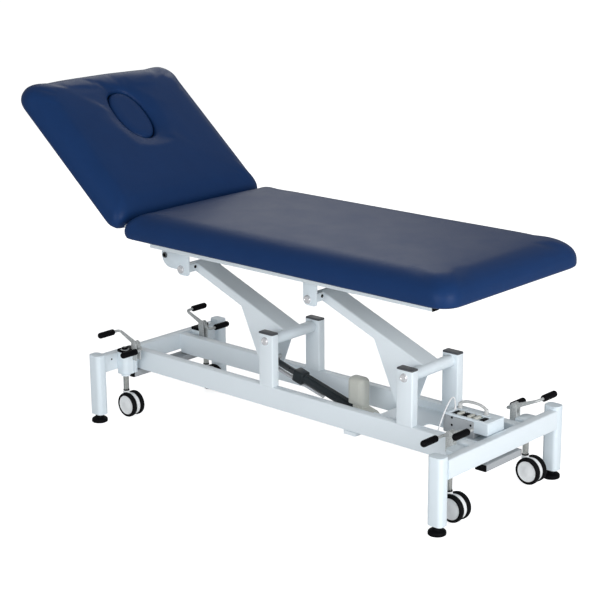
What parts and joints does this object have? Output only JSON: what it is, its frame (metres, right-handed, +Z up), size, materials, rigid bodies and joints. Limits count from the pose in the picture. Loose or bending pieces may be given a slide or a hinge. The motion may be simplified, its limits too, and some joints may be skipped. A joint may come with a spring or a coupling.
{
  "type": "electric examination table",
  "caption": "Two-section padded examination table on a parallel-arm electric lift, with a tilting head section, face-hole plug, levelling feet and pedal-lowered castors.",
  "frame": {"origin": "middle of the outline in plan, on the floor under the levelling feet", "axes": "+X towards the foot end along the couch, +Y towards the far side, +Z up"},
  "size_m": [1.8002, 0.67, 1.1154],
  "materials": {
    "white_coat": "white powder coat, semi-gloss",
    "upholstery": "navy polyurethane leather, satin",
    "rubber": "black rubber",
    "cap_plastic": "dark grey moulded plastic",
    "charcoal": "charcoal coat, matt",
    "motor_plastic": "beige-grey moulded plastic",
    "dark_steel": "dark oiled steel",
    "chrome": "bright chrome",
    "castor_plastic": "light grey nylon",
    "tyre": "dark grey tread with grey discs",
    "pedal_steel": "zinc-plated steel with black grips",
    "control_plastic": "grey moulded plastic",
    "cable": "light grey flexible lead",
    "thin_cable": "white flexible lead"
  },
  "bodies": {
    "base": {"base_rail_near": "white_coat", "base_rail_far": "white_coat", "end_beam_head": "white_coat", "end_beam_foot": "white_coat", "actuator_bracket": "white_coat", "control_shelf": "white_coat", "control_box": "control_plastic", "cable_loop": "cable", "cable_thin": "thin_cable", "leg_head_near": "white_coat", "levelling_foot_head_near": "rubber", "post_head_near": "white_coat", "post_cap_head_near": "cap_plastic", "leg_head_far": "white_coat", "levelling_foot_head_far": "rubber", "post_head_far": "white_coat", "post_cap_head_far": "cap_plastic", "leg_foot_near": "white_coat", "levelling_foot_foot_near": "rubber", "post_foot_near": "white_coat", "post_cap_foot_near": "cap_plastic", "leg_foot_far": "white_coat", "levelling_foot_foot_far": "rubber", "post_foot_far": "white_coat", "post_cap_foot_far": "cap_plastic"},
    "lift_arm_1": {"lift_arm_1": "white_coat"},
    "lift_arm_2": {"lift_arm_2": "white_coat"},
    "top": {"top_rail_near": "white_coat", "top_rail_far": "white_coat", "cross_member_1": "white_coat", "cross_member_2": "white_coat", "hinge_bracket_near": "white_coat", "hinge_bracket_far": "white_coat", "body_cushion": "upholstery"},
    "head": {"head_rail_near": "white_coat", "head_rail_far": "white_coat", "head_cross_tube": "white_coat", "head_cushion": "upholstery"},
    "plug": {"face_plug": "upholstery"},
    "actuator": {"actuator_tube": "charcoal", "actuator_motor": "motor_plastic"},
    "actuator_rod": {"actuator_rod": "dark_steel"},
    "spring": {"spring_cylinder": "charcoal"},
    "spring_rod": {"spring_rod": "dark_steel"},
    "stem_head_near": {"castor_stem_head_near": "chrome"},
    "castor_head_near": {"castor_fork_head_near": "castor_plastic"},
    "wheels_head_near": {"castor_wheels_head_near": "tyre"},
    "pedal_head_near": {"pedal_head_near": "pedal_steel"},
    "stem_head_far": {"castor_stem_head_far": "chrome"},
    "castor_head_far": {"castor_fork_head_far": "castor_plastic"},
    "wheels_head_far": {"castor_wheels_head_far": "tyre"},
    "pedal_head_far": {"pedal_head_far": "pedal_steel"},
    "stem_foot_near": {"castor_stem_foot_near": "chrome"},
    "castor_foot_near": {"castor_fork_foot_near": "castor_plastic"},
    "wheels_foot_near": {"castor_wheels_foot_near": "tyre"},
    "pedal_foot_near": {"pedal_foot_near": "pedal_steel"},
    "stem_foot_far": {"castor_stem_foot_far": "chrome"},
    "castor_foot_far": {"castor_fork_foot_far": "castor_plastic"},
    "wheels_foot_far": {"castor_wheels_foot_far": "tyre"},
    "pedal_foot_far": {"pedal_foot_far": "pedal_steel"}
  },
  "joints": [
    {"name": "lift", "type": "hinge", "parent": "base", "child": "lift_arm_1", "pos_m": [0.02885, 0, 0.37], "axis": [0, 1, 0], "range_deg": [-31.6, 20.4]},
    {"name": "lift_arm_2_turn", "type": "hinge", "parent": "base", "child": "lift_arm_2", "pos_m": [0.58885, 0, 0.37], "axis": [0, 1, 0], "range_deg": [-31.6, 20.4]},
    {"name": "top_level", "type": "hinge", "parent": "lift_arm_1", "child": "top", "pos_m": [-0.3756, 0, 0.53013], "axis": [0, 1, 0], "range_deg": [-20.4, 31.6]},
    {"name": "actuator_turn", "type": "hinge", "parent": "base", "child": "actuator", "pos_m": [0.37785, 0, 0.15], "axis": [0, 1, 0], "range_deg": [-3.2, 2.1]},
    {"name": "actuator_stroke", "type": "slide", "parent": "actuator", "child": "actuator_rod", "axis": [-0.9671, 0, 0.2542], "range_m": [-0.07, 0.046]},
    {"name": "head_tilt", "type": "hinge", "parent": "top", "child": "head", "pos_m": [-0.4114, 0, 0.70253], "axis": [0, 1, 0], "range_deg": [-40.1, 29.9]},
    {"name": "spring_turn", "type": "hinge", "parent": "top", "child": "spring", "pos_m": [-0.4491, 0, 0.56813], "axis": [0, 1, 0], "range_deg": [-29.4, 21.9]},
    {"name": "spring_stroke", "type": "slide", "parent": "spring", "child": "spring_rod", "axis": [-0.6386, 0, 0.7695], "range_m": [-0.0835, 0.0625]},
    {"name": "plug_lift", "type": "slide", "parent": "head", "child": "plug", "axis": [0.6441, 0, 0.7649], "range_m": [0, 0.12]},
    {"name": "pedal_head_near", "type": "hinge", "parent": "base", "child": "pedal_head_near", "pos_m": [-0.54315, -0.159, 0.253], "axis": [0, -1, 0], "range_deg": [0, 33]},
    {"name": "castor_lower_head_near", "type": "slide", "parent": "base", "child": "stem_head_near", "axis": [0, 0, -1], "range_m": [0, 0.021]},
    {"name": "castor_swivel_head_near", "type": "hinge", "parent": "stem_head_near", "child": "castor_head_near", "pos_m": [-0.56315, -0.191, 0.112], "axis": [0, 0, 1], "continuous": true},
    {"name": "wheel_spin_head_near", "type": "hinge", "parent": "castor_head_near", "child": "wheels_head_near", "pos_m": [-0.54115, -0.191, 0.05], "axis": [0, 1, 0], "continuous": true},
    {"name": "pedal_head_far", "type": "hinge", "parent": "base", "child": "pedal_head_far", "pos_m": [-0.54315, 0.159, 0.253], "axis": [0, -1, 0], "range_deg": [0, 33]},
    {"name": "castor_lower_head_far", "type": "slide", "parent": "base", "child": "stem_head_far", "axis": [0, 0, -1], "range_m": [0, 0.021]},
    {"name": "castor_swivel_head_far", "type": "hinge", "parent": "stem_head_far", "child": "castor_head_far", "pos_m": [-0.56315, 0.191, 0.112], "axis": [0, 0, 1], "continuous": true},
    {"name": "wheel_spin_head_far", "type": "hinge", "parent": "castor_head_far", "child": "wheels_head_far", "pos_m": [-0.54115, 0.191, 0.05], "axis": [0, 1, 0], "continuous": true},
    {"name": "pedal_foot_near", "type": "hinge", "parent": "base", "child": "pedal_foot_near", "pos_m": [0.78885, -0.159, 0.253], "axis": [0, 1, 0], "range_deg": [0, 33]},
    {"name": "castor_lower_foot_near", "type": "slide", "parent": "base", "child": "stem_foot_near", "axis": [0, 0, -1], "range_m": [0, 0.021]},
    {"name": "castor_swivel_foot_near", "type": "hinge", "parent": "stem_foot_near", "child": "castor_foot_near", "pos_m": [0.80885, -0.191, 0.112], "axis": [0, 0, 1], "continuous": true},
    {"name": "wheel_spin_foot_near", "type": "hinge", "parent": "castor_foot_near", "child": "wheels_foot_near", "pos_m": [0.83085, -0.191, 0.05], "axis": [0, 1, 0], "continuous": true},
    {"name": "pedal_foot_far", "type": "hinge", "parent": "base", "child": "pedal_foot_far", "pos_m": [0.78885, 0.159, 0.253], "axis": [0, 1, 0], "range_deg": [0, 33]},
    {"name": "castor_lower_foot_far", "type": "slide", "parent": "base", "child": "stem_foot_far", "axis": [0, 0, -1], "range_m": [0, 0.021]},
    {"name": "castor_swivel_foot_far", "type": "hinge", "parent": "stem_foot_far", "child": "castor_foot_far", "pos_m": [0.80885, 0.191, 0.112], "axis": [0, 0, 1], "continuous": true},
    {"name": "wheel_spin_foot_far", "type": "hinge", "parent": "castor_foot_far", "child": "wheels_foot_far", "pos_m": [0.83085, 0.191, 0.05], "axis": [0, 1, 0], "continuous": true}
  ],
  "couplings": [
    {"joint": "lift_arm_2_turn", "follows": "lift", "ratio": 1},
    {"joint": "top_level", "follows": "lift", "ratio": -1},
    {"joint": "actuator_turn", "follows": "lift", "ratio": 0.0985},
    {"joint": "actuator_stroke", "follows": "lift", "m_per_rad": 0.126},
    {"joint": "spring_turn", "follows": "head_tilt", "ratio": 0.73},
    {"joint": "spring_stroke", "follows": "head_tilt", "m_per_rad": 0.119},
    {"joint": "castor_lower_head_near", "follows": "pedal_head_near", "m_per_rad": 0.03645},
    {"joint": "castor_lower_head_far", "follows": "pedal_head_far", "m_per_rad": 0.03645},
    {"joint": "castor_lower_foot_near", "follows": "pedal_foot_near", "m_per_rad": 0.03645},
    {"joint": "castor_lower_foot_far", "follows": "pedal_foot_far", "m_per_rad": 0.03645}
  ]
}
